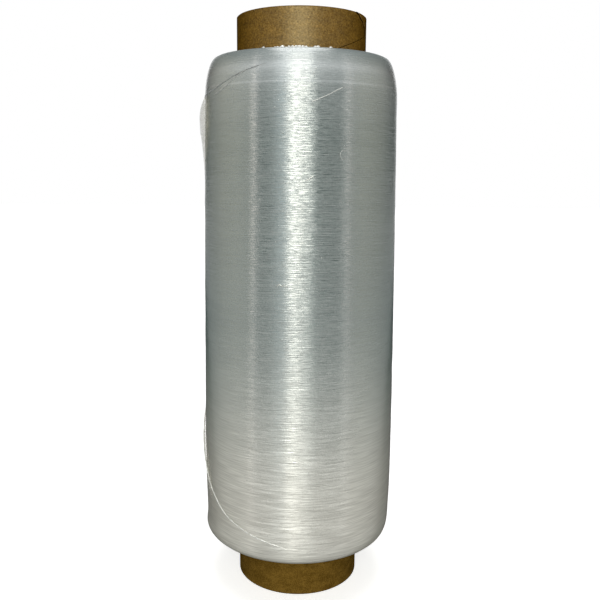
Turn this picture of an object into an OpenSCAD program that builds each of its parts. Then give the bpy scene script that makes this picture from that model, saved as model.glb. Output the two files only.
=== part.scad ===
// Hand roll of clear stretch film, wound on a spiral-wound paperboard core
// that stands bare at both ends. The roll stands on its core. Millimetres, Z up.
// Angles round the roll are counted in degrees to the left of the front, -Y.

/* [Core] */
// Inside diameter of the core, which takes a 3 inch dispenser spindle
core_bore_d = 76.2; // [50:0.1:90]
// Thickness of the core's wall
core_wall = 3.9; // [2.5:0.1:8]
// Bare core below the film
bare_foot = 28; // [12:1:80]
// Bare core above the film
bare_top = 24; // [12:1:80]
// Angle at which the core's paper plies climb round it
ply_angle = 20.5; // [14:0.5:32]
// Width of the gap between two turns of the outermost ply
seam_w = 0.6; // [0.3:0.1:1.2]
// Depth of that gap, which is the thickness of the ply
seam_depth = 0.35; // [0.2:0.05:0.8]
// Bevel that the saw and handling leave on the rims
rim_bevel = 0.4; // [0.1:0.1:1]

/* [Film] */
// Height of the wound film, measured where it meets the core
film_w = 329; // [260:1:460]
// Diameter of the roll at its widest place
film_d = 130.6; // [114:0.2:170]
// Height of the widest place above the film's lower end
widest_at = 64; // [50:1:120]
// How much slimmer in radius the roll is below its upper shoulder
slim_top = 2.4; // [0:0.1:5]
// How much slimmer in radius the roll is at its lower end
slim_foot = 1.7; // [0:0.1:4]
// Width of the upper shoulder's rounding, measured outwards
top_round_w = 6.8; // [3:0.1:10]
// Height of the upper shoulder's rounding
top_round_h = 23; // [10:0.5:40]
// Width of the lower shoulder's rounding, measured outwards
foot_round_w = 9.6; // [3:0.1:12]
// Height of the lower shoulder's rounding
foot_round_h = 16.6; // [10:0.1:40]
// How far the upper end face domes up where it meets the core
top_dome = 2.1; // [0.5:0.1:4]
// How far the lower end face domes down where it meets the core
foot_dome = 3.7; // [0.5:0.1:5]
// Spacing of the ridges that the film's turns leave on the roll
ridge_pitch = 3; // [2.4:0.1:8]
// Height of the boldest of those ridges
ridge_h = 0.3; // [0.1:0.05:0.5]
// Spacing of the rings that the turns leave on the end faces
ring_pitch = 2.2; // [1.5:0.1:4]
// Height of the boldest of those rings
ring_h = 0.3; // [0.1:0.05:0.6]

/* [Loose end] */
// Width of the loose end's rolled edges
hem_w = 1.6; // [0.8:0.1:3]
// How far the rolled edges stand out from the roll
hem_h = 0.7; // [0.5:0.1:1.5]
// Distance of the upper rolled edge below the film's upper end, at the front
hem_top_gap = 11; // [8:0.5:18]
// Distance of the lower rolled edge above the film's lower end, at the front
hem_foot_gap = 16.5; // [12:0.5:22]
// Height of the loose end's tip above the film's lower end
tip_at = 180; // [140:1:220]
// How far the slack film stands off below the upper rolled edge
upper_slack = 3.8; // [1.5:0.1:6]
// Height of the slack film there
upper_slack_h = 72; // [40:1:100]
// How far the slack film stands off along the lower rolled edge
lower_slack = 1.6; // [1:0.1:5]
// Height of the slack film there
lower_slack_h = 38; // [24:1:60]

/* [Hidden] */
$fn = 96;

core_r = core_bore_d / 2 + core_wall;
core_len = bare_foot + film_w + bare_top;
film_r = film_d / 2;

// The outermost ply climbs this far in one turn. Its gap starts at the foot's
// rim, so many degrees round from +X, and is cut past both rims.
ply_rise = 2 * PI * core_r * tan(ply_angle);
seam_from = 78;
seam_step = 8;
overrun = 10;
clear = 1;

// Where the shoulders begin, above the film's lower end, and how square they
// are: 2 is an ellipse, more is squarer.
foot_shoulder = foot_dome + foot_round_h;
top_shoulder = film_w - top_dome - top_round_h;
foot_square = 3.4;
top_square = 1.8;
shoulder_steps = 9;
ridges = floor((top_shoulder - foot_shoulder) / ridge_pitch);

// The loose end narrows to a tip round the left. Each course gives the angle
// and the share of the way to the tip's height that the edge has come.
upper_course = [[18, 0], [34, 0.033], [57, 0.093], [88, 0.11], [112, 0.22], [136, 0.45], [158, 0.76], [176, 1]];
lower_course = [[4, 0], [28, 0.039], [48, 0.084], [66, 0.169], [88, 0.364], [112, 0.6], [136, 0.8], [174, 1]];
upper_span = [18, 174];
lower_span = [4, 172];
hem_step = 4;
lower_hem_share = 0.9;

// Where the slack film is, round the left, and half its width there. Its
// crest is so far along its height, counted from its steep side.
slack_at = 90;
slack_half = 32;
slack_cells = 10;
upper_crest = 0.19;
lower_crest = 0.4;

// How far the hems and the slack film's rim reach into the roll, and how far
// the slack film's back does.
sink = 1;
bite = 2.5;

// The roll without ridges and shoulders: a barrel, slimmer towards both ends.
function barrel(h) = h > widest_at
    ? film_r - slim_top * pow((h - widest_at) / (top_shoulder - widest_at), 1.5)
    : film_r - slim_foot * pow((widest_at - h) / widest_at, 2);

// How far a shoulder has drawn in, t of the way along its rounding.
function drawn_in(t, square) = 1 - pow(1 - pow(min(max(t, 0), 1), square), 1 / square);

function skin(h) = barrel(h)
    - top_round_w * drawn_in((h - top_shoulder) / top_round_h, top_square)
    - foot_round_w * drawn_in((foot_shoulder - h) / foot_round_h, foot_square);

// Uneven heights for the ridges and rings, as shares of the boldest: two waves
// that never fall into step.
function uneven(i) = 0.6 + 0.26 * sin(137.5 * i) + 0.14 * sin(61 * i);

function upper_hem(a) = film_w - hem_top_gap - (film_w - hem_top_gap - tip_at) * lookup(a, upper_course);
function lower_hem(a) = hem_foot_gap + (tip_at - hem_foot_gap) * lookup(a, lower_course);

// Share of the slack film's stand-off: across, a degrees round the left, and
// along, v of the way from its steep side.
function slack_across(a) = pow(cos(90 * min(1, abs(a - slack_at) / slack_half)), 2);
function slack_along(v, crest) = pow(sin(180 * pow(v, ln(0.5) / ln(crest))), 3);

// Stations from -1 to 1, the first and last pair close together.
function station(i) = i == 0 ? -1 : i == slack_cells ? 1 : 0.95 * (2 * (i - 1) / (slack_cells - 2) - 1);

function at_left(r, a, h) = [-r * sin(a), -r * cos(a), h];

// Faces of a closed bar through so many rings of n points each.
function bar_faces(rings, n) = concat(
    [for (i = [0:rings - 2], j = [0:n - 1]) let (k = (j + 1) % n) [i * n + j, i * n + k, (i + 1) * n + k]],
    [for (i = [0:rings - 2], j = [0:n - 1]) let (k = (j + 1) % n) [i * n + j, (i + 1) * n + k, (i + 1) * n + j]],
    [for (j = [1:n - 2]) [0, j + 1, j]],
    [for (j = [1:n - 2]) [(rings - 1) * n, (rings - 1) * n + j, (rings - 1) * n + j + 1]]
);

// The gap between two turns of the core's outermost ply.
module seam() {
    steps = ceil((core_len + 2 * overrun) / ply_rise * 360 / seam_step);
    half = seam_w / 2 / cos(ply_angle);
    floor_r = core_r - seam_depth;
    corners = [[floor_r, -half], [core_r + clear, -half], [core_r + clear, half], [floor_r, half]];
    points = [
        for (i = [0:steps])
            let (h = i * seam_step / 360 * ply_rise - overrun, a = seam_from + h / ply_rise * 360)
            for (p = corners) [p[0] * cos(a), p[0] * sin(a), h + p[1]]
    ];
    polyhedron(points, bar_faces(steps + 1, len(corners)), convexity = 12);
}

module core() {
    bore_r = core_bore_d / 2;
    color("Peru")
    difference() {
        rotate_extrude()
            polygon([
                [bore_r, 0],
                [core_r - rim_bevel, 0],
                [core_r, rim_bevel],
                [core_r, core_len - rim_bevel],
                [core_r - rim_bevel, core_len],
                [bore_r, core_len]
            ]);
        seam();
    }
}

// Half section of the film: rings on the end faces, rounded shoulders and
// ridges up the barrel.
module wound_section() {
    foot_flat = skin(foot_dome) - core_r;
    top_flat = skin(film_w - top_dome) - core_r;
    foot_rings = floor(foot_flat / ring_pitch);
    top_rings = floor(top_flat / ring_pitch);
    foot_face = [
        for (i = [0:foot_rings - 1])
            let (s = (i + 0.5) / foot_rings, e = (i + 1) / foot_rings)
            each [
                [core_r + foot_flat * s, foot_dome * s - ring_h * uneven(i)],
                [core_r + foot_flat * e, foot_dome * e]
            ]
    ];
    foot_round = [
        for (i = [1:shoulder_steps])
            let (a = 90 * i / shoulder_steps, h = foot_shoulder - foot_round_h * pow(cos(a), 2 / foot_square))
            [skin(h), h]
    ];
    ridge_line = [
        for (i = [0:ridges - 1])
            let (h = foot_shoulder + (i + 0.5) * ridge_pitch, low = h + ridge_pitch / 2)
            each [[skin(h) + ridge_h * uneven(i), h], [skin(low), low]]
    ];
    top_round = [
        for (i = [1:shoulder_steps])
            let (a = 90 * i / shoulder_steps, h = top_shoulder + top_round_h * pow(sin(a), 2 / top_square))
            [skin(h), h]
    ];
    top_face = [
        for (i = [top_rings - 1:-1:0])
            let (s = (i + 0.5) / top_rings, e = i / top_rings)
            each [
                [core_r + top_flat * s, film_w - top_dome * s + ring_h * uneven(top_rings + i)],
                [core_r + top_flat * e, film_w - top_dome * e]
            ]
    ];
    polygon(concat([[core_r, 0]], foot_face, foot_round, ridge_line, top_round, top_face));
}

// A rolled edge laid on the roll along a path of [angle, height, stand-off].
module hem(path, height) {
    foot = -sink / height;
    shape = [[0.5, foot], [0.32, 0.7], [0, 1], [-0.32, 0.7], [-0.5, foot]];
    points = [
        for (i = [0:len(path) - 1])
            let (
                before = path[max(i - 1, 0)],
                after = path[min(i + 1, len(path) - 1)],
                h = path[i][1],
                r = skin(h) + path[i][2],
                along = (after[0] - before[0]) * PI / 180 * r,
                up = after[1] - before[1],
                run = norm([along, up])
            )
            for (p = shape)
                at_left(
                    r + p[1] * height,
                    path[i][0] - p[0] * hem_w * up / run / r * 180 / PI,
                    h + p[0] * hem_w * along / run
                )
    ];
    polyhedron(points, bar_faces(len(path), len(shape)), convexity = 6);
}

// Slack film that stands off the roll. Its rim lies below the skin, so that it
// grows out of the roll.
module slack(upper) {
    n = slack_cells;
    height = upper ? upper_slack_h : lower_slack_h;
    points = [
        for (i = [0:n])
            let (
                a = slack_at + slack_half * station(i),
                top = upper ? upper_hem(a) : lower_hem(a) + (1 - lower_crest) * height,
                foot = top - height,
                stand = slack_across(a) * (upper ? upper_slack : lower_slack)
            )
            each concat(
                [
                    for (j = [0:n])
                        let (
                            down = (station(j) + 1) / 2,
                            h = top - height * down,
                            share = upper ? slack_along(down, upper_crest) : slack_along(1 - down, lower_crest),
                            rim = i % n == 0 || j % n == 0
                        )
                        at_left(skin(h) + (rim ? -sink : ridge_h + stand * share), a, h)
                ],
                [at_left(skin(foot) - bite, a, foot), at_left(skin(top) - bite, a, top)]
            )
    ];
    polyhedron(points, bar_faces(n + 1, n + 3), convexity = 6);
}

module film() {
    upper_path = [for (a = [upper_span[0]:hem_step:upper_span[1]]) [a, upper_hem(a), 0]];
    lower_path = [
        for (a = [lower_span[0]:hem_step:lower_span[1]])
            [a, lower_hem(a), lower_slack * slack_across(a)]
    ];
    color("Gainsboro")
    translate([0, 0, bare_foot])
        union() {
            rotate_extrude()
                wound_section();
            hem(upper_path, hem_h);
            hem(lower_path, hem_h * lower_hem_share);
            slack(true);
            slack(false);
        }
}

core();
film();
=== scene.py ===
import math

import bmesh
import bpy
import numpy as np
from mathutils import Matrix, Vector


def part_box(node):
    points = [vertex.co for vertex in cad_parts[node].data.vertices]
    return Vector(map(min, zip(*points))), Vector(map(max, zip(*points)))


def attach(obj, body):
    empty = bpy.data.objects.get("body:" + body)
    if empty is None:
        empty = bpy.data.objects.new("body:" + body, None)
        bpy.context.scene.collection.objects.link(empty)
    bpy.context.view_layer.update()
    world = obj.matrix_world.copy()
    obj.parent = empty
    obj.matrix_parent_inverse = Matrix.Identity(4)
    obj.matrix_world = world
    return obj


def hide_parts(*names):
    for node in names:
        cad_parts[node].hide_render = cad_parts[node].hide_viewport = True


# Hand roll of clear stretch film on a paperboard core, dressed for the render.
# Lengths are in mm here and become metres when a mesh is made. Angles round the
# roll are in degrees to the left of the front, as in the part's source, and
# heights on the film are counted from its lower end.
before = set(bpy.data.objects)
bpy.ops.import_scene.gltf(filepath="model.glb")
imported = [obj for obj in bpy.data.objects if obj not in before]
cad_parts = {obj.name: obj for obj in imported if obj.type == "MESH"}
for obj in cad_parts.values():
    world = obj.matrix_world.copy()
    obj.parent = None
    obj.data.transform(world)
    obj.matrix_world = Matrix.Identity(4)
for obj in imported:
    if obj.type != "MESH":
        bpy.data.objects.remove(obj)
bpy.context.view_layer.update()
mm = 0.001

coreHigh = np.array(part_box("core")[1]) / mm
filmLow, filmHigh = (np.array(corner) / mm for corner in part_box("film"))
coreRadius = coreHigh[0]
coreLength = coreHigh[2]
filmFoot = filmLow[2]
filmTop = filmHigh[2]
filmWidth = filmTop - filmFoot
print("frame: core %.1f mm long, film %.1f mm wide" % (coreLength, filmWidth))


# The camera, fitted to the photograph's outline

camera = {
    "place": (0.41, -503.6, 281.9),
    "lookDown": 9.666,
    "roll": 0.467,
    "lens": 44.3,
    "sensorWidth": 36,
    "nearest": 10,
}


def makeCamera(values):
    data = bpy.data.cameras.new("camera")
    data.lens = values["lens"]
    data.sensor_width = values["sensorWidth"]
    data.clip_start = values["nearest"] * mm
    view = bpy.data.objects.new("camera", data)
    bpy.context.scene.collection.objects.link(view)
    tilt = Matrix.Rotation(math.radians(90 - values["lookDown"]), 4, "X")
    roll = Matrix.Rotation(math.radians(values["roll"]), 4, "Z")
    view.matrix_world = Matrix.Translation(Vector(values["place"]) * mm) @ tilt @ roll
    bpy.context.scene.camera = view


makeCamera(camera)
print("camera: placed")


# Meshes from grids. Points this close together, in metres, are merged.

mergeWithin = 1e-6


def makePiece(name, grids, material, closed=False, fade=None):
    # Each grid is (x, y, z, joinAround, joinAlong): three arrays of rows by
    # columns in mm. Four neighbouring points make a face, and a joined
    # direction closes on its first row or column. A closed piece has its
    # poles merged and its faces turned outwards.
    points, corners = [], []
    start = 0
    for x, y, z, joinAround, joinAlong in grids:
        index = start + np.arange(x.size).reshape(x.shape)
        if joinAround:
            index = np.hstack([index, index[:, :1]])
        if joinAlong:
            index = np.vstack([index, index[:1]])
        faces = np.stack([index[:-1, :-1], index[:-1, 1:], index[1:, 1:], index[1:, :-1]], -1)
        corners.append(faces.reshape(-1, 4))
        points.append(np.stack([x, y, z], -1).reshape(-1, 3) * mm)
        start += x.size
    points, corners = np.concatenate(points), np.concatenate(corners)
    mesh = bpy.data.meshes.new(name)
    mesh.vertices.add(len(points))
    mesh.vertices.foreach_set("co", points.astype(np.float32).ravel())
    mesh.loops.add(corners.size)
    mesh.loops.foreach_set("vertex_index", corners.astype(np.int32).ravel())
    mesh.polygons.add(len(corners))
    mesh.polygons.foreach_set("loop_start", np.arange(0, corners.size, 4, dtype=np.int32))
    mesh.polygons.foreach_set("use_smooth", np.full(len(corners), True))
    mesh.update(calc_edges=True)
    if fade is not None:
        layer = mesh.attributes.new("fade", "FLOAT", "POINT")
        layer.data.foreach_set("value", fade.astype(np.float32).ravel())
    if closed:
        shell = bmesh.new()
        shell.from_mesh(mesh)
        bmesh.ops.remove_doubles(shell, verts=shell.verts, dist=mergeWithin)
        bmesh.ops.recalc_face_normals(shell, faces=shell.faces)
        shell.to_mesh(mesh)
        shell.free()
    mesh.validate()
    mesh.materials.append(material)
    piece = bpy.data.objects.new(name, mesh)
    bpy.context.scene.collection.objects.link(piece)
    print("%s: %d triangles" % (name, 2 * len(corners)))
    return piece


def shadeEach(grids, shades):
    # One value for all the points of each grid.
    return np.concatenate([np.full(grid[0].size, shade) for grid, shade in zip(grids, shades)])


def roughField(seed, rows, columns, cellRows, cellColumns):
    # Smooth random heights between -1 and 1 on a grid that joins round its
    # columns: random values at cell corners, eased between them by a cosine.
    draw = np.random.default_rng(seed)
    cellRows, cellColumns = max(2, int(round(cellRows))), max(3, int(round(cellColumns)))
    values = draw.uniform(-1, 1, (cellRows + 2, cellColumns))
    down = np.linspace(0, cellRows, rows)
    across = np.arange(columns) / columns * cellColumns
    r, c = down.astype(int), across.astype(int)
    u = (0.5 - 0.5 * np.cos(np.pi * (down - r)))[:, None]
    v = (0.5 - 0.5 * np.cos(np.pi * (across - c)))[None, :]
    near, far = c % cellColumns, (c + 1) % cellColumns
    top = values[r][:, near] * (1 - v) + values[r][:, far] * v
    low = values[r + 1][:, near] * (1 - v) + values[r + 1][:, far] * v
    return top * (1 - u) + low * u


def ease(t):
    # 0 below 0, 1 above 1 and 3t^2 - 2t^3 between.
    t = np.clip(t, 0, 1)
    return t * t * (3 - 2 * t)


def bell(x, middle, width):
    # 1 at the middle, e^-1 one width away.
    return np.exp(-((x - middle) / width) ** 2)


def alongPath(path, count):
    # Angles and heights of so many points along a path of straight runs.
    t, place = np.linspace(0, 1, count), np.linspace(0, 1, len(path))
    return [np.interp(t, place, column) for column in np.array(path, float).T]


# Shader maths

class Wire:
    # A socket's output. Sums and products become Math nodes, and node() adds
    # any other kind to the same tree.
    def __init__(self, tree, socket=None):
        self.tree, self.socket = tree, socket

    def node(self, kind, settings, sockets, output=0):
        made = self.tree.nodes.new(kind)
        for name, value in settings.items():
            if name == "stops":
                fillRamp(made.color_ramp, value)
            else:
                setattr(made, name, value)
        for key, value in sockets.items():
            if isinstance(value, Wire):
                self.tree.links.new(value.socket, made.inputs[key])
            else:
                made.inputs[key].default_value = value
        return Wire(self.tree, made.outputs[output])

    def maths(self, operation, first, second=0.0):
        return self.node("ShaderNodeMath", {"operation": operation}, {0: first, 1: second})

    def __add__(self, other):
        return self.maths("ADD", self, other)

    def __sub__(self, other):
        return self.maths("SUBTRACT", self, other)

    def __rsub__(self, other):
        return self.maths("SUBTRACT", other, self)

    def __mul__(self, other):
        return self.maths("MULTIPLY", self, other)

    def __truediv__(self, other):
        return self.maths("DIVIDE", self, other)

    def __pow__(self, other):
        return self.maths("POWER", self, other)

    __radd__ = __add__
    __rmul__ = __mul__


def fillRamp(ramp, stops):
    # A new ramp has one stop at each end. The others are added between them.
    ramp.interpolation = "LINEAR"
    ramp.elements[0].color = (*stops[0][1], 1)
    ramp.elements[1].color = (*stops[-1][1], 1)
    for place, colour in stops[1:-1]:
        ramp.elements.new(place).color = (*colour, 1)


def newMaterial(name):
    material = bpy.data.materials.new(name)
    material.use_nodes = True
    material.node_tree.nodes.clear()
    return material, Wire(material.node_tree)


def outputTo(wire, shader, kind="ShaderNodeOutputMaterial"):
    end = wire.tree.nodes.new(kind)
    wire.tree.links.new(shader.socket, end.inputs["Surface"])


def stretchedNoise(wire, around, up, detail, roughness, seed):
    # Noise whose blobs are so many mm round the roll and so many mm high.
    # The finishes give it as these five values.
    place = wire.node("ShaderNodeTexCoord", {}, {}, "Object")
    spread = (1 / (around * mm), 1 / (around * mm), 1 / (up * mm))
    sockets = {"Vector": place, "Scale": spread, "Location": (seed, 0, seed)}
    mapped = wire.node("ShaderNodeMapping", {}, sockets)
    sockets = {"Vector": mapped, "Scale": 1.0, "Detail": detail, "Roughness": roughness}
    return wire.node("ShaderNodeTexNoise", {}, sockets)


def mixColour(wire, share, first, second, blend="MIX"):
    first, second = ((*c, 1) if isinstance(c, tuple) else c for c in (first, second))
    settings = {"data_type": "RGBA", "blend_type": blend}
    return wire.node("ShaderNodeMix", settings, {0: share, 6: first, 7: second}, 2)


def scaled(wire, colour, factor):
    return wire.node("ShaderNodeVectorMath", {"operation": "SCALE"}, {0: colour, "Scale": factor})


def grey(wire, level):
    return wire.node("ShaderNodeCombineColor", {}, {0: level, 1: level, 2: level})


def rampOf(wire, place, stops):
    # Colour by place, from stops that hold a level or a colour each.
    stops = [(at, shade if isinstance(shade, tuple) else (shade,) * 3) for at, shade in stops]
    return wire.node("ShaderNodeValToRGB", {"stops": stops}, {"Fac": place})


def rise(wire, value, ends, shape="SMOOTHSTEP"):
    # 0 at the first end and 1 at the second, eased between them.
    sockets = {"Value": value, "From Min": ends[0], "From Max": ends[1]}
    return wire.node("ShaderNodeMapRange", {"interpolation_type": shape}, sockets)


def riseUp(wire, ends, shape="SMOOTHSTEP"):
    # The same between two heights above the foot of the core.
    place = wire.node("ShaderNodeTexCoord", {}, {}, "Object")
    height = wire.node("ShaderNodeSeparateXYZ", {}, {0: place}, "Z")
    return rise(wire, height, [end * mm for end in ends], shape)


def bumpOf(wire, height):
    return wire.node("ShaderNodeBump", {}, {"Strength": 1.0, "Distance": mm, "Height": height})


def fadeOf(wire):
    # The value that a piece's points carry, or 0 on a piece without one.
    return wire.node("ShaderNodeAttribute", {"attribute_name": "fade"}, {}, "Fac")


def facingOf(wire):
    # 0 where the surface faces the eye, 1 at its outline.
    return wire.node("ShaderNodeLayerWeight", {}, {"Blend": 0.5}, "Facing")


def mattShader(wire, colour, bump=None):
    # Scatters light evenly, with no gloss at all.
    colour = (*colour, 1) if isinstance(colour, tuple) else colour
    sockets = {"Base Color": colour, "Roughness": 1.0, "Specular IOR Level": 0.0}
    if bump is not None:
        sockets["Normal"] = bump
    return wire.node("ShaderNodeBsdfPrincipled", {}, sockets)


# Film material. A noise is the width and height of its blobs, its detail, its
# roughness and its seed. A pair of strengths is the barrel's and the foot's, and
# silver has the head's too. Heights are above the foot of the core, but the
# lip's are from the film's upper end.

filmFinish = {
    "haze": (0.212, 0.282, 0.276),
    "clear": (0.240, 0.314, 0.306),
    "bands": (60, 7, 2.0, 0.5, 3.0),
    "bandsFrom": (0.35, 0.65),
    # Paler, warmer foot colour: partly the film's own milk, partly painted light from the floor.
    "footMilkAndPaintedLight": (0.605, 0.605, 0.556),
    "footBlendFrom": (200, 55),
    "headHaze": (0.775, 0.845, 0.885),
    "headFrom": (300, 352),
    "headBands": (
        (0, 0), (0.2, 0.05), (0.385, 0.17), (0.557, 0.25), (0.655, 0.4), (0.675, 0.85), (0.695, 0.5),
        (0.78, 0.62), (0.835, 0.93), (0.87, 0.88), (0.92, 0.55), (1, 0.4),
    ),
    "lip": (0.15, 0.138, 0.158),
    "lipFrom": (-1.6, -0.6),
    "lipShare": 0.9,
    "shine": (0.275, 0.28, 0.275),
    "footShine": (0.60, 0.60, 0.58),
    "silver": (0.60, 0.34, 0.47),
    "edgeMilk": (0.5, 2.4),
    "edgeMilkFrom": (280, 80),
    "headEdge": -2.0,
    "roughness": (0.27, 0.31),
    "lines": (4.2, 0.55, 1.0, 0.5, 4.0),
    "roughLines": (1.25, 7.0),
    "stretchedShine": 1.0,
    "shineTurn": 0.25,
    "threads": (17.0, 0.6, 1.5, 0.5, 0.0),
    "threadHeight": 0.23,
    "milkShade": (0.08, 0.42),
    "mirrorShade": (0.2, 2.3),
    "waves": (9.0, 1.3, 1.0, 0.5, 7.0),
    "waveHeight": 0.12,
}


def filmMaterial(values):
    # Clear film wound tight is part milky, part mirror. The mirror is scored
    # by the winding, so its light spreads up and down far more than sideways.
    # Fine lines of unlike roughness break its highlight, and fade sideways.
    # Milk grows towards the outline and the foot, and bands of it lie round the head. At the foot the
    # milk is also paler and warmer: partly the film's own milkiness, partly painted light standing in for
    # the floor's light on the lower film. The lip is the upper end face, close to the core.
    material, wire = newMaterial("stretch film")
    names = ("threads", "waves", "bands", "lines")
    threads, waves, bands, lines = (stretchedNoise(wire, *values[name]) for name in names)
    bump = bumpOf(wire, threads * values["threadHeight"] + waves * values["waveHeight"])
    foot = riseUp(wire, values["footBlendFrom"])
    head = rampOf(wire, riseUp(wire, values["headFrom"], "LINEAR"), values["headBands"])
    shades = []
    for here, low in (values["milkShade"], values["mirrorShade"]):
        shades.append(1.0 + (threads - 0.5) * (here + foot * (low - here)))
    milkShade, mirrorShade = shades
    milk = mixColour(wire, rise(wire, bands, values["bandsFrom"]), values["haze"], values["clear"])
    # Paler, warmer milk towards the foot: partly the film's own, partly painted light from the floor.
    milk = mixColour(wire, foot, milk, values["footMilkAndPaintedLight"])
    milk = mixColour(wire, head, milk, values["headHaze"])
    milk = mattShader(wire, scaled(wire, milk, milkShade))
    here, low = values["roughness"]
    rough = here + (low - here) * foot
    facing = facingOf(wire)
    strong, fall = values["roughLines"]
    mirror = mixColour(wire, foot, values["shine"], values["footShine"])
    mirror = wire.node("ShaderNodeBsdfPrincipled", {}, {
        "Base Color": scaled(wire, mirror, mirrorShade),
        "Metallic": 1.0,
        "Roughness": rough + (lines - 0.5) * (1.0 - facing) ** fall * strong,
        "Anisotropic": values["stretchedShine"],
        "Anisotropic Rotation": values["shineTurn"],
        "Normal": bump,
    })
    silver, footSilver, headSilver = values["silver"]
    silver = silver + (footSilver - silver) * foot
    silver = silver + (headSilver - silver) * head
    here, low = values["edgeMilk"]
    edge = here + (low - here) * riseUp(wire, values["edgeMilkFrom"]) + head * values["headEdge"]
    silver = wire.maths("MAXIMUM", silver * (1.0 - facing * facing * edge), 0.0)
    film = wire.node("ShaderNodeMixShader", {}, {0: silver, 1: milk, 2: mirror})
    lip = mattShader(wire, values["lip"], bump)
    share = riseUp(wire, [filmTop + lift for lift in values["lipFrom"]]) * values["lipShare"]
    outputTo(wire, wire.node("ShaderNodeMixShader", {}, {0: share, 1: film, 2: lip}))
    return material


# Paperboard material

kraftFinish = {
    "dark": (0.107, 0.058, 0.0076),
    "light": (0.243, 0.143, 0.027),
    "specks": (0.75, 0.7, 2.0, 0.6, 0.0),
    "clouds": (7, 4, 3.0, 0.5, 9.0),
    "cloudShare": 0.5,
    "lightFrom": (0.34, 0.66),
    # The seam's dark colour, also laid on the rim crease as painted shade.
    "seam": (0.035, 0.018, 0.008),
    "fibres": (1.2, 1.0, 1.5, 0.6, 5.0),
    "fibresFrom": (0.3, 0.7),
    "topFrom": (300, 340),
    "topTone": ((0.55, 0.47, 0.24), (0.94, 0.86, 0.53)),
    "polish": 0.098,
    "polishFall": 2.0,
    "polishTints": ((0.5, 0.44, 0.28), (1.0, 0.88, 0.56)),
    "polishRough": 0.5,
    "grainHeight": 0.08,
}


def kraftMaterial(values):
    # Matt board, with a faint polish on the upper end.
    material, wire = newMaterial("kraft paperboard")
    names = ("specks", "clouds", "fibres")
    specks, clouds, fibres = (stretchedNoise(wire, *values[name]) for name in names)
    fibres = rise(wire, fibres, values["fibresFrom"], "LINEAR")
    grain = bumpOf(wire, specks * values["grainHeight"])
    tone = specks + (clouds - 0.5) * values["cloudShare"]
    share = rise(wire, tone, values["lightFrom"], "LINEAR")
    # The seam takes the dark seam colour, and so does the rim crease, as painted shade.
    seam = fadeOf(wire)
    colour = mixColour(wire, share, values["dark"], values["light"])
    colour = mixColour(wire, seam, colour, values["seam"])
    top = riseUp(wire, values["topFrom"])
    tone = mixColour(wire, fibres, *values["topTone"])
    colour = mixColour(wire, top, colour, mixColour(wire, 1.0, colour, tone, "MULTIPLY"))
    matt = mattShader(wire, colour, grain)
    polished = wire.node("ShaderNodeBsdfPrincipled", {}, {
        "Base Color": mixColour(wire, fibres, *values["polishTints"]),
        "Metallic": 1.0,
        "Roughness": values["polishRough"],
    })
    facing = facingOf(wire)
    share = top * (1.0 - seam) * (1.0 - facing) ** values["polishFall"] * values["polish"]
    outputTo(wire, wire.node("ShaderNodeMixShader", {}, {0: share, 1: matt, 2: polished}))
    return material


# Looser film: slack places that light shines through, rolled edges, beads

slackFinish = {
    "colour": (0.80, 0.775, 0.62),
    "creases": (9, 3, 2.0, 0.5, 0.0),
    "creaseHeight": 0.4,
    "opacity": (0.2, 0.5),
    "roughness": 0.22,
}
rolledFinish = {
    "colour": (0.66, 0.67, 0.64),
    "darker": 0.8,
    # The darker colour is painted shade.
    "paintedShade": (0.27, 0.285, 0.285),
    "uneven": (2.5, 1.5, 2.0, 0.5, 0.0),
    "unevenHeight": 0.15,
    "roughness": 0.3,
    "silver": 0.35,
}
beadFinish = {
    "colour": (0.88, 0.89, 0.87),
    "darker": 0.8,
    "paintedShade": (0.88, 0.89, 0.87),
    "uneven": (2.5, 1.5, 2.0, 0.5, 0.0),
    "unevenHeight": 0.15,
    "roughness": 0.12,
    "silver": 0.1,
}


def slackMaterial(values):
    # Thin film off the roll, clearer towards its borders.
    material, wire = newMaterial("slack film")
    creases = stretchedNoise(wire, *values["creases"])
    thin, thick = values["opacity"]
    shader = wire.node("ShaderNodeBsdfPrincipled", {}, {
        "Base Color": (*values["colour"], 1),
        "Roughness": values["roughness"],
        "Alpha": (thin + (thick - thin) * creases) * fadeOf(wire),
        "Normal": bumpOf(wire, creases * values["creaseHeight"]),
    })
    outputTo(wire, shader)
    return material


def plainFilmMaterial(name, values):
    # Film rolled into a cord or a drop. The piece's fade mixes in a darker colour: painted shade.
    material, wire = newMaterial(name)
    uneven = stretchedNoise(wire, *values["uneven"])
    darker = tuple(values["darker"] * c for c in values["colour"])
    colour = mixColour(wire, uneven, darker, values["colour"])
    shader = wire.node("ShaderNodeBsdfPrincipled", {}, {
        "Base Color": mixColour(wire, fadeOf(wire), colour, values["paintedShade"]),
        "Metallic": values["silver"],
        "Roughness": values["roughness"],
        "Normal": bumpOf(wire, uneven * values["unevenHeight"]),
    })
    outputTo(wire, shader)
    return material


filmLook = filmMaterial(filmFinish)
kraftLook = kraftMaterial(kraftFinish)
slackLook = slackMaterial(slackFinish)
rolledLook = plainFilmMaterial("rolled film edge", rolledFinish)
beadLook = plainFilmMaterial("film beads", beadFinish)
print("materials: film and paperboard")


# The wound film. A ridge is its height, its spacing, its cells round the roll
# and its seed. The full place is how far it stands out, its angle counted from
# +X and how wide it is, and its height on the film and how tall it is.

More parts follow.
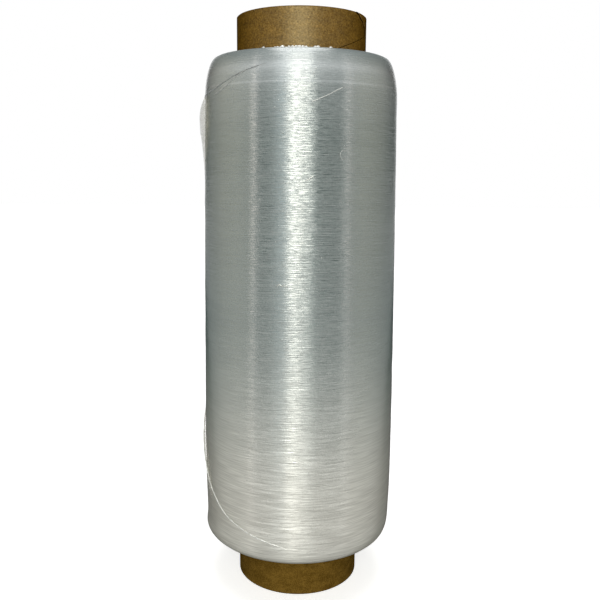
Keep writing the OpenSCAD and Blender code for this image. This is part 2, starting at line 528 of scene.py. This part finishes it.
roll = {
    "barrel": 65.3,
    "widestAt": 64,
    "slimTop": 2.4,
    "slimFoot": 1.7,
    "topRound": (6.8, 23),
    "footRound": (9.6, 16.6),
    "topDome": 2.1,
    "footDome": 3.7,
    "topSquare": 1.8,
    "footSquare": 3.4,
    "fullPlace": (1.8, 180, 40, 8, 6),
    "ridges": ((0.025, 1.5, 34, 3), (0.04, 3.2, 20, 4), (0.12, 11, 9, 5)),
    "endRings": (0.16, 1.6, 14, 6),
    "coreGap": 0.03,
    "columns": 188,
    "rows": 452,
    "rowStep": 0.62,
    "endRows": 14,
    "endSpread": 0.9,
    "footRows": 15,
    "footSpread": 1.6,
    "topRows": 34,
}
footShoulder = roll["footDome"] + roll["footRound"][1]
topShoulder = filmWidth - roll["topDome"] - roll["topRound"][1]


def drawnIn(t, square):
    # How far a shoulder has drawn in, t of the way along it: a quarter of a
    # superellipse.
    return 1 - (1 - np.clip(t, 0, 1) ** square) ** (1 / square)


def skin(h):
    # Radius of the roll h above the film's lower end: a barrel that slims
    # upwards by the power 1.5 of the way and downwards by its square, less
    # the two rounded shoulders.
    above = np.clip((h - roll["widestAt"]) / (topShoulder - roll["widestAt"]), 0, None)
    below = np.clip((roll["widestAt"] - h) / roll["widestAt"], 0, None)
    barrel = roll["barrel"] - roll["slimTop"] * above ** 1.5 - roll["slimFoot"] * below ** 2
    top = drawnIn((h - topShoulder) / roll["topRound"][1], roll["topSquare"])
    foot = drawnIn((footShoulder - h) / roll["footRound"][1], roll["footSquare"])
    return barrel - roll["topRound"][0] * top - roll["footRound"][0] * foot


def wind(values, material):
    # Rows run from the core out along the lower end, up the skin and back to
    # the core, and the last row closes on the first inside the roll. Ridges
    # move the skin in and out, and rings move the end faces up and down.
    columns = values["columns"]
    angle = np.arange(columns) / columns * 2 * np.pi
    low, high = values["footDome"], filmWidth - values["topDome"]
    inner = coreRadius + values["coreGap"]
    outwards = np.arange(values["endRows"]) / values["endRows"]
    t = outwards ** values["endSpread"]
    footR, footH = inner + (skin(low) - inner) * t, low * t
    t = outwards[::-1] ** values["endSpread"]
    topR, topH = inner + (skin(high) - inner) * t, filmWidth - values["topDome"] * t
    turn = np.sin(np.linspace(0, np.pi / 2, values["footRows"]))
    drop = values["footRound"][1] * (1 - turn) ** (1 / values["footSpread"])
    barrelH = np.linspace(footShoulder, topShoulder, values["rows"])[1:-1]
    topRise = values["topRound"][1] * np.linspace(0, 1, values["topRows"])
    skinH = np.concatenate([footShoulder - drop, barrelH, topShoulder + topRise])
    radius = np.concatenate([footR, skin(skinH), topR])[:, None] + 0 * angle
    height = np.concatenate([footH, skinH, topH])[:, None] + 0 * angle
    rows = len(radius)
    onSkin = np.concatenate([0 * footH, 0 * skinH + 1, 0 * topH])[:, None]
    for much, spacing, cells, seed in values["ridges"]:
        cellRows = rows * values["rowStep"] / spacing
        radius = radius + much * roughField(seed, rows, columns, cellRows, cells) * onSkin
    much, at, wide, up, tall = values["fullPlace"]
    radius = radius + much * bell(np.degrees(angle), at, wide) * bell(height, up, tall) * onSkin
    much, spacing, cells, seed = values["endRings"]
    height = height + much * roughField(seed, rows, columns, rows / spacing, cells) * (1 - onSkin)
    x, y = radius * np.cos(angle), radius * np.sin(angle)
    return makePiece("wound_film", [(x, y, height + filmFoot, True, True)], material)


woundFilm = wind(roll, filmLook)
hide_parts("film")
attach(woundFilm, "root")


# The loose end: its rolled edges and the slack places on the left. A course is
# points of an angle and a share of the way to the tip. A bead is its width, its
# height and how far its middle stands off. A slack place is how far it stands
# off, its height and the crest's share of that height, counted down in the
# upper place and up in the lower one.

tail = {
    "topGap": 11,
    "footGap": 16.5,
    "tipAt": 180,
    "upperCourse": (
        (18, 0), (34, 0.033), (57, 0.093), (88, 0.11), (112, 0.22), (136, 0.45), (158, 0.76), (176, 1),
    ),
    "lowerCourse": (
        (4, 0), (28, 0.039), (48, 0.084), (66, 0.169), (88, 0.364), (112, 0.6), (136, 0.8), (174, 1),
    ),
    "upperSpan": (18, 174),
    "lowerSpan": (7, 172),
    "softenOver": 4,
    "softenSteps": 5,
    "upperBead": (0.6, 0.3, 0.03),
    "upperWaver": (0.3, 0.9, 0.37, 1),
    "branchSpan": (31, 58),
    "branchDrop": (3.4, 18),
    "branchBead": (0.6, 0.28, 0.02),
    "lowerBead": (1.0, 0.45, 0.05),
    "lowerWaver": (0.25, 1.3, 0.41, 0),
    # How much painted shade darkens the upper edge, its branch and the lower edge: it stands in for the
    # shadow line beside the upper edge.
    "paintedShade": (1.0, 0.7, 0.0),
    "edgePoints": 260,
    "branchPoints": 60,
    "slackAt": 90,
    "slackHalf": 32,
    "upperSlack": (3.8, 72, 0.19),
    "lowerSlack": (1.6, 38, 0.4),
    "slackGap": 0.12,
    "tuck": (0.3, 12),
    "fadeIn": 5,
    "wrinkle": (0.12, 16, 9, 11),
    "slackGrid": (72, 84),
}


def atLeft(r, a, h):
    # The point r from the axis, a degrees left of the front and h up the film.
    turn = np.radians(a)
    return -r * np.sin(turn), -r * np.cos(turn), h + filmFoot + 0 * turn


def courseHeight(a, course, start):
    # Height of a rolled edge at angle a: straight runs between the course's
    # points, averaged over a few degrees so that they bend softly.
    angles, shares = np.array(course, float).T
    steps = np.linspace(-1, 1, tail["softenSteps"]) * tail["softenOver"]
    share = sum(np.interp(a + step, angles, shares) for step in steps) / len(steps)
    return start + (tail["tipAt"] - start) * share


def upperEdge(a):
    return courseHeight(a, tail["upperCourse"], filmWidth - tail["topGap"])


def lowerEdge(a):
    return courseHeight(a, tail["lowerCourse"], tail["footGap"])


def slackAcross(a):
    # 1 in the middle of the slack and 0 at its sides, as a cosine squared.
    share = np.minimum(1, np.abs(a - tail["slackAt"]) / tail["slackHalf"])
    return np.cos(np.pi / 2 * share) ** 2


def slackAlong(v, crest):
    # 0 at both ends and 1 at the crest: a sine cubed of a power of the way.
    return np.sin(np.pi * np.clip(v, 0, 1) ** (math.log(0.5) / math.log(crest))) ** 3


def waver(a, much, fast, slow, start):
    # 1, give or take the product of a fast sine and a slow one.
    return 1 + much * np.sin(a * fast) * np.sin(a * slow + start)


def bead(a, h, stand, width, height, sides=8, ground=skin, ends=12):
    # A bead laid on the roll along a path of angles and heights: an ellipse
    # so wide across the path and so high, half sunk, that tapers as a square
    # root over a twelfth of the path at each end.
    r = ground(h) + stand
    along = np.gradient(np.radians(a)) * r
    up = np.gradient(h)
    run = np.hypot(along, up) + 1e-9
    t = np.linspace(0, 1, len(a))
    taper = np.sqrt(np.clip(np.minimum(t, 1 - t) * ends, 0, 1))
    section = np.arange(sides) / sides * 2 * np.pi
    across = (taper * width / 2)[:, None] * np.cos(section)
    out = (taper * height)[:, None] * np.sin(section)
    turned = a[:, None] - across * np.degrees((up / run / r)[:, None])
    lifted = h[:, None] + across * (along / run)[:, None]
    x, y, z = atLeft(ground(lifted) + stand[:, None] + out, turned, lifted)
    return x, y, z, True, False


def layTail(values):
    # The branch leaves the upper edge at its front and settles below it. The
    # lower edge stands off with the slack place that it crosses.
    a = np.linspace(*values["upperSpan"], values["edgePoints"])
    width, height, stand = values["upperBead"]
    wave = waver(a, *values["upperWaver"])
    upper = bead(a, upperEdge(a), 0 * a + stand, width * wave, height * wave, sides=10)
    a = np.linspace(*values["branchSpan"], values["branchPoints"])
    drop, over = values["branchDrop"]
    width, height, stand = values["branchBead"]
    h = upperEdge(a) - drop * ease((a - a[0]) / over)
    branch = bead(a, h, 0 * a + stand, width, height, sides=10)
    a = np.linspace(*values["lowerSpan"], values["edgePoints"])
    width, height, stand = values["lowerBead"]
    wave = waver(a, *values["lowerWaver"])
    stand = values["lowerSlack"][0] * slackAcross(a) + stand
    lower = bead(a, lowerEdge(a), stand, width * wave, height * wave, sides=10)
    grids = [upper, branch, lower]
    # The upper edge and its branch get painted shade, standing in for their shadow line on the film.
    fade = shadeEach(grids, values["paintedShade"])
    return makePiece("rolled_edges", grids, rolledLook, closed=True, fade=fade)


def slackSheet(name, values, size, edge, hangs):
    # Rows run down from the sheet's top and columns leftwards. The sheet
    # hangs from its rolled edge, or else the edge crosses it at the crest.
    # Where it lies on the roll it is tucked under the skin.
    stand, height, crest = size
    rows, columns = values["slackGrid"]
    across = np.linspace(-1, 1, columns)
    a = values["slackAt"] + values["slackHalf"] * across[None, :] + np.zeros((rows, 1))
    v = np.linspace(0, 1, rows)[:, None] + 0 * a
    h = edge(a) + (0 if hangs else (1 - crest) * height) - height * v
    lift = slackAcross(a) * slackAlong(v if hangs else 1 - v, crest)
    much, cellRows, cellColumns, seed = values["wrinkle"]
    wrinkle = much * roughField(seed, rows, columns, cellRows, cellColumns)
    tuck, soon = values["tuck"]
    out = values["slackGap"] + lift * (stand + wrinkle) - tuck * (1 - ease(lift * soon))
    x, y, z = atLeft(skin(h) + out, a, h)
    fade = ease(lift * values["fadeIn"])
    sheet = makePiece(name, [(x, y, z, False, False)], slackLook, fade=fade)
    return sheet


rolledEdges = layTail(tail)
slackUpper = slackSheet("slack_upper", tail, tail["upperSlack"], upperEdge, True)
slackLower = slackSheet("slack_lower", tail, tail["lowerSlack"], lowerEdge, False)
for piece in (rolledEdges, slackUpper, slackLower):
    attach(piece, "root")


# Small marks: creases, specks and a bubble's ring in the skin, beads on the top edge. A place is an angle
# and a height on the film. A crease is its places, its width, its height and how much painted shade
# darkens it, and a row of beads is how far out from the core and how far above the film's edge it lies,
# and each bead's angle and size. The bubble's ring is darkened by painted shade too.

marks = {
    "creases": (
        (((-5.6, 295.3), (-13.7, 299.1), (-23.4, 304.5)), 0.5, 0.2, 0.2),
        (((-2.6, 250.0), (-7.2, 253.0)), 0.7, 0.3, 0),
        (((12.2, 187.0), (10.8, 188.4), (9.4, 187.2), (7.8, 188.2), (6.2, 186.9)), 0.6, 0.35, 0),
    ),
    "creasePoints": 40,
    "stand": 0.05,
    "bubbleAt": (-23.6, 265.4),
    "bubbleRadius": 2.0,
    "bubbleTall": 1.3,
    "bubbleTurn": 140,
    "bubblePoints": 48,
    "bubbleBead": (0.5, 0.1, 0.03),
    "bubblePaintedShade": 0.6,
    "specks": (
        (11.4, 223.7), (-11.7, 204.7), (13.0, 214.0), (-24.2, 270.5), (13.0, 307.4), (13.9, 292.3),
        (12.0, 296.3), (10.8, 290.2), (9.5, 277.5), (11.1, 259.4), (-8.0, 314.4), (-6.8, 311.4),
    ),
    "speckHalf": 0.3,
    "speckPoints": 8,
    "speckBead": (0.6, 0.35),
    "beadRows": (
        (1.1, -0.5, (
            (32.3, 0.45), (22.4, 0.6), (21.0, 0.8), (18.8, 0.7), (12.4, 0.6), (9.6, 0.8), (8.2, 0.7),
            (6.8, 0.8), (5.2, 0.7), (3.4, 0.95), (1.4, 1.0), (-0.4, 0.75), (-2.2, 0.9), (-4.2, 0.6),
            (-10.9, 0.8), (-25.2, 0.5), (28.0, 0.35), (44.0, 0.35), (-19.5, 0.35), (-36.0, 0.3),
        )),
        (4.0, -0.6, (
            (14.2, 1.0), (15.6, 0.6), (18.0, 0.6), (20.2, 0.5), (9.2, 0.7), (6.4, 0.8), (3.8, 0.85),
            (1.4, 0.9), (-1.2, 0.8), (-3.6, 0.65), (-10.4, 0.8), (-12.6, 0.9), (-22.6, 0.8), (29.8, 0.85),
        )),
    ),
    "beadShape": (1.44, 0.96, 1.2),
    "beadGrid": (9, 12),
}


def markSkin(values):
    # The bubble is most of an upright oval, open on its right.
    grids, shades = [], []
    for path, width, height, shade in values["creases"]:
        a, h = alongPath(path, values["creasePoints"])
        grids.append(bead(a, h, 0 * a + values["stand"], width, height))
        shades.append(shade)
    at, up = values["bubbleAt"]
    radius, half = values["bubbleRadius"], np.radians(values["bubbleTurn"])
    turn = np.linspace(-half, half, values["bubblePoints"])
    a = at + np.degrees(radius * np.cos(turn) / skin(up))
    h = up + radius * values["bubbleTall"] * np.sin(turn)
    width, height, stand = values["bubbleBead"]
    grids.append(bead(a, h, 0 * a + stand, width, height))
    shades.append(values["bubblePaintedShade"])
    for at, up in values["specks"]:
        a = at + np.linspace(-values["speckHalf"], values["speckHalf"], values["speckPoints"])
        grids.append(bead(a, up + 0 * a, 0 * a + values["stand"], *values["speckBead"]))
        shades.append(0)
    # Creases and the bubble's ring are darkened by painted shade, as much as each one's shade says.
    fade = shadeEach(grids, shades)
    return makePiece("skin_marks", grids, rolledLook, closed=True, fade=fade)


def beadTop(values):
    # Each bead is an ellipsoid, so wide along the edge, so deep towards the
    # core and so high: a half turn of rows by a full turn of columns.
    grids = []
    rows, columns = values["beadGrid"]
    down = np.linspace(0, np.pi, rows)[:, None]
    around = np.arange(columns)[None, :] / columns * 2 * np.pi
    side, front = np.sin(around) * np.sin(down), np.cos(around) * np.sin(down)
    for out, lift, places in values["beadRows"]:
        for a, size in places:
            x, y, z = atLeft(coreRadius + out, a, filmWidth + lift)
            wide, deep, high = (size * share for share in values["beadShape"])
            cos, sin = math.cos(math.radians(a)), math.sin(math.radians(a))
            grids.append((
                x + wide * side * cos - deep * front * sin,
                y - wide * side * sin - deep * front * cos,
                z + high * np.cos(down) + 0 * around,
                True, False,
            ))
    return makePiece("edge_beads", grids, beadLook, closed=True)


for piece in (markSkin(marks), beadTop(marks)):
    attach(piece, "root")


# The core. The seam starts at an angle counted from +X, and its columns are given in half widths of the
# seam. The crease is a line on the outside, at angles and heights above the core's foot, coloured with
# the seam's dark colour as painted shade in the dent, and the sliver is the torn paper beside a part of
# it.

tube = {
    "bore": 38.1,
    "bevel": 0.4,
    "plyRise": 98.67,
    "seamFrom": 78,
    "seamWidth": 1.1,
    "seamDepth": 0.35,
    "seamColumns": (-2.2, -1.0, -0.75, 0, 0.75, 1.0, 2.2),
    "seamFloor": 0.9,
    "besideSeam": 3.5,
    "columns": 200,
    "bareRows": 40,
    "hiddenRows": 60,
    "underFilm": 1,
    "rimRows": 14,
    "boreRows": 120,
    "plyGroove": (0.05, 0.75),
    "crease": (
        (-52.4, 380.6), (-57.2, 380.1), (-60.3, 378.1), (-65.8, 376.6), (-70.5, 373.0), (-72.5, 368.5),
    ),
    "creasePoints": 60,
    "creaseBead": (1.4, 0.15),
    "sliverPart": (8, 46),
    "sliverShift": (-1.9, 0.2),
    "sliverBead": (1.3, 0.5),
}


def board(h):
    return coreRadius + 0 * h


def rollCore(values, material):
    # Columns climb with the outer ply, so that its seam is one narrow column
    # of the grid. Rows run up the outside, over the rim, down the bore and
    # back over the lower rim, and a sine across each rim shows the plies.
    bevel, under = values["bevel"], values["underFilm"]
    half = values["seamWidth"] / 2 / coreRadius
    beside = values["besideSeam"] * half
    rest = np.linspace(beside, 2 * np.pi - beside, values["columns"])
    column = np.concatenate([np.array(values["seamColumns"]) * half, rest])[None, :]
    bare = np.linspace(0, 1, values["bareRows"])
    outH = np.concatenate([
        bevel + (filmFoot + under - bevel) * bare,
        np.linspace(filmFoot + under, filmTop - under, values["hiddenRows"])[1:-1],
        filmTop - under + (coreLength - bevel - filmTop + under) * bare,
    ])
    rimR = np.linspace(coreRadius - bevel, values["bore"] + bevel, values["rimRows"])
    boreH = np.linspace(coreLength - bevel, bevel, values["boreRows"])
    radius = np.concatenate([0 * outH + coreRadius, rimR, 0 * boreH + values["bore"], rimR[::-1]])
    height = np.concatenate([outH, 0 * rimR + coreLength, boreH, 0 * rimR])
    outside = np.concatenate([0 * outH + 1, 0 * rimR, 0 * boreH, 0 * rimR])
    climb = height[:, None] / values["plyRise"] * 2 * np.pi
    angle = np.radians(values["seamFrom"]) + climb + column
    seam = (np.abs(column) < values["seamFloor"] * half) * outside[:, None]
    grown = radius[:, None] - values["seamDepth"] * seam
    deep, thick = values["plyGroove"]
    plies = deep * np.sin(rimR * 2 * np.pi / thick)
    groove = np.concatenate([0 * outH, plies - deep, 0 * boreH, deep - plies[::-1]])
    up = (height + groove)[:, None] + 0 * angle
    x, y = grown * np.cos(angle), grown * np.sin(angle)
    a, h = alongPath(values["crease"], values["creasePoints"])
    h = h - filmFoot
    crease = bead(a, h, 0 * a, *values["creaseBead"], ground=board)
    first, last = values["sliverPart"]
    turned, lifted = values["sliverShift"]
    a, h = a[first:last] + turned, h[first:last] + lifted
    sliver = bead(a, h, 0 * a, *values["sliverBead"], ground=board)
    # The seam's columns take the dark seam colour; the crease takes it too, as painted shade.
    fade = np.concatenate([seam.ravel(), shadeEach([crease, sliver], (1, 0))])
    grids = [(x, y, up, True, True), crease, sliver]
    return makePiece("core_tube", grids, material, closed=True, fade=fade)


coreTube = rollCore(tube, kraftLook)
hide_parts("core")
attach(coreTube, "root")


# Room. Round, tints and fill go by compass angle, in degrees to the right of
# the front: what the film mirrors, its colour, and the light that it gives. The
# ceiling is its level, how much that rises to the front, and its own light. The
# floor's glow is the near one, what distance adds, and where half is added.

room = {
    "round": (
        (-180, 1.0), (-155.5, 1.0), (-153.5, 0.02), (-140, 0.25), (-117, 0.85), (-104, 1.3), (-80, 1.5),
        (-66, 1.15), (-59.5, 0.9), (-57.6, 4.4), (-54.8, 4.4), (-52.6, 0.16), (-36, 0.14), (-27, 1.2),
        (-21, 2.1), (-15, 2.1), (12, 1.6), (17, 0.3), (21, 0.04), (46, 0.02), (50, 0.2), (53, 0.5),
        (54.4, 3.6), (57.6, 3.6), (59.4, 1.0), (80, 1.25), (95, 1.0), (112, 0.7), (130, 0.2),
        (153.5, 0.02), (155.5, 1.0), (180, 1.0),
    ),
    "tints": (
        (-180, (1, 1, 1)), (-155.5, (1, 1, 1)), (-153.5, (1, 0.95, 0.76)), (-100, (1, 0.95, 0.77)),
        (-62, (1, 0.95, 0.8)), (-55, (1, 0.91, 0.86)), (-45, (0.93, 1, 1)), (-22, (0.8, 0.95, 1)),
        (0, (1, 1, 0.95)), (20, (0.75, 1, 1)), (46, (0.75, 1, 1)), (57, (1, 0.91, 0.86)),
        (70, (1, 0.95, 0.77)), (110, (1, 0.95, 0.76)), (153.5, (1, 0.95, 0.76)), (155.5, (1, 1, 1)),
        (180, (1, 1, 1)),
    ),
    "fill": (
        (-180, 0.9), (-164, 0.7), (-150, 0.1), (-110, 0.06), (-80, 0.08), (0, 1.1), (80, 0.1),
        (110, 0.06), (150, 0.1), (164, 0.7), (180, 0.9),
    ),
    "ceiling": (0.3, 1.15, 0.16),
    "ceilingLeast": 0.02,
    "ceilingFrom": (0.3, 0.6),
    "strip": 1.6,
    "stripFrom": ((-0.42, -0.28), (0.24, 0.14)),
    "stripBack": 0.8,
    "floor": (0.86, 0.86, 0.85),
    "floorHalf": 6000,
    "floorGlow": (0.63, 0.39, 1270),
    "bounce": (0.11, 0.065),
    "bounceFrom": (220, 500),
    "bounceTint": (1.0, 0.98, 0.93),
}


def seenDirectly(wire):
    # 1 for what the camera sees, in glossy reflections and through film too.
    names = ("Is Camera Ray", "Is Glossy Ray", "Is Transmission Ray")
    camera, glossy, through = (wire.node("ShaderNodeLightPath", {}, {}, name) for name in names)
    return wire.maths("MAXIMUM", wire.maths("MAXIMUM", camera, glossy), through)


def byCompass(wire, compass, stops):
    return rampOf(wire, compass, [((a + 180) / 360, shade) for a, shade in stops])


def makeWorld(values):
    # Walls all round, and a ceiling above them that is paler to the front,
    # with one bright strip across its middle.
    world = bpy.data.worlds.new("studio")
    world.use_nodes = True
    world.node_tree.nodes.clear()
    bpy.context.scene.world = world
    wire = Wire(world.node_tree)
    ray = wire.node("ShaderNodeTexCoord", {}, {}, "Generated")
    x, y, z = (wire.node("ShaderNodeSeparateXYZ", {}, {0: ray}, axis) for axis in "XYZ")
    compass = wire.maths("ARCTAN2", x, y * -1.0) / (2 * math.pi) + 0.5
    tints = byCompass(wire, compass, values["tints"])
    walls = mixColour(wire, 1.0, byCompass(wire, compass, values["round"]), tints, "MULTIPLY")
    over = rise(wire, z, values["ceilingFrom"])
    level, lean, lit = values["ceiling"]
    ceiling = wire.maths("MAXIMUM", level - y * lean, values["ceilingLeast"])
    left, right = (rise(wire, x, ends) for ends in values["stripFrom"])
    back = wire.maths("MAXIMUM", values["stripBack"] - y, 0.0)
    ceiling = ceiling + left * right * back * values["strip"]
    shown = mixColour(wire, over, walls, grey(wire, ceiling))
    lit = mixColour(wire, over, byCompass(wire, compass, values["fill"]), (lit,) * 3)
    light = mixColour(wire, seenDirectly(wire), lit, shown)
    shader = wire.node("ShaderNodeBackground", {}, {"Color": light, "Strength": 1.0})
    outputTo(wire, shader, "ShaderNodeOutputWorld")


def makeFloor(values):
    # The floor shows pale, glows more with distance and keeps the roll's
    # shadow. The light that it sends back to the roll is set apart.
    material, wire = newMaterial("floor")
    place = wire.node("ShaderNodeTexCoord", {}, {}, "Object")
    away = wire.node("ShaderNodeVectorMath", {"operation": "LENGTH"}, {0: place}, "Value")
    near, more, half = values["floorGlow"]
    strength = near + more * away / (away + half * mm)
    glow = wire.node("ShaderNodeEmission", {}, {"Color": grey(wire, strength), "Strength": 1.0})
    seen = wire.node("ShaderNodeAddShader", {}, {0: mattShader(wire, values["floor"]), 1: glow})
    near, far = values["bounce"]
    ends = [end * mm for end in values["bounceFrom"]]
    share = near + (far - near) * rise(wire, away, ends, "LINEAR")
    dull = mattShader(wire, mixColour(wire, share, (0.0, 0.0, 0.0), values["bounceTint"]))
    outputTo(wire, wire.node("ShaderNodeMixShader", {}, {0: seenDirectly(wire), 1: dull, 2: seen}))
    span = np.array([-1, 1]) * values["floorHalf"]
    x, y = np.meshgrid(span, span)
    makePiece("floor", [(x, y, 0 * x, False, False)], material)


# Lamps, by the same compass angle. Each looks at a height on the roll's axis.

lamps = {
    "keyHigh": {
        "compass": 0.0, "distance": 1300, "height": 700, "aim": 600,
        "width": 630, "tall": 620, "lean": 8,
        "watts": 7.6, "colour": (1.0, 0.985, 0.89),
    },
    "keyLow": {
        "compass": -6.2, "distance": 1300, "height": 190, "aim": 130,
        "width": 250, "tall": 500, "lean": 6,
        "watts": 2.7, "colour": (1.0, 0.985, 0.90),
    },
    "above": {
        "compass": 180, "distance": 60, "height": 1700, "aim": 0,
        "width": 900, "tall": 900, "lean": 0,
        "watts": 11, "colour": (1.0, 1.0, 1.0),
    },
}


def makeLamp(name, values):
    data = bpy.data.lights.new(name, "AREA")
    data.shape = "RECTANGLE"
    data.size = values["width"] * mm
    data.size_y = values["tall"] * mm
    data.energy = values["watts"]
    data.color = values["colour"]
    lamp = bpy.data.objects.new(name, data)
    bpy.context.scene.collection.objects.link(lamp)
    a, away = math.radians(values["compass"]), values["distance"]
    place = Vector((math.sin(a) * away, -math.cos(a) * away, values["height"])) * mm
    toRoll = Vector((0, 0, values["aim"] * mm)) - place
    aim = toRoll.to_track_quat("-Z", "Y").to_matrix().to_4x4()
    lean = Matrix.Rotation(math.radians(-values["lean"]), 4, "Z")
    lamp.matrix_world = Matrix.Translation(place) @ aim @ lean
    lamp.visible_camera = False


makeWorld(room)
makeFloor(room)
for lampName, lampValues in lamps.items():
    makeLamp(lampName, lampValues)
bpy.context.scene.view_settings.view_transform = "Standard"
print("room: walls, floor and lamps")
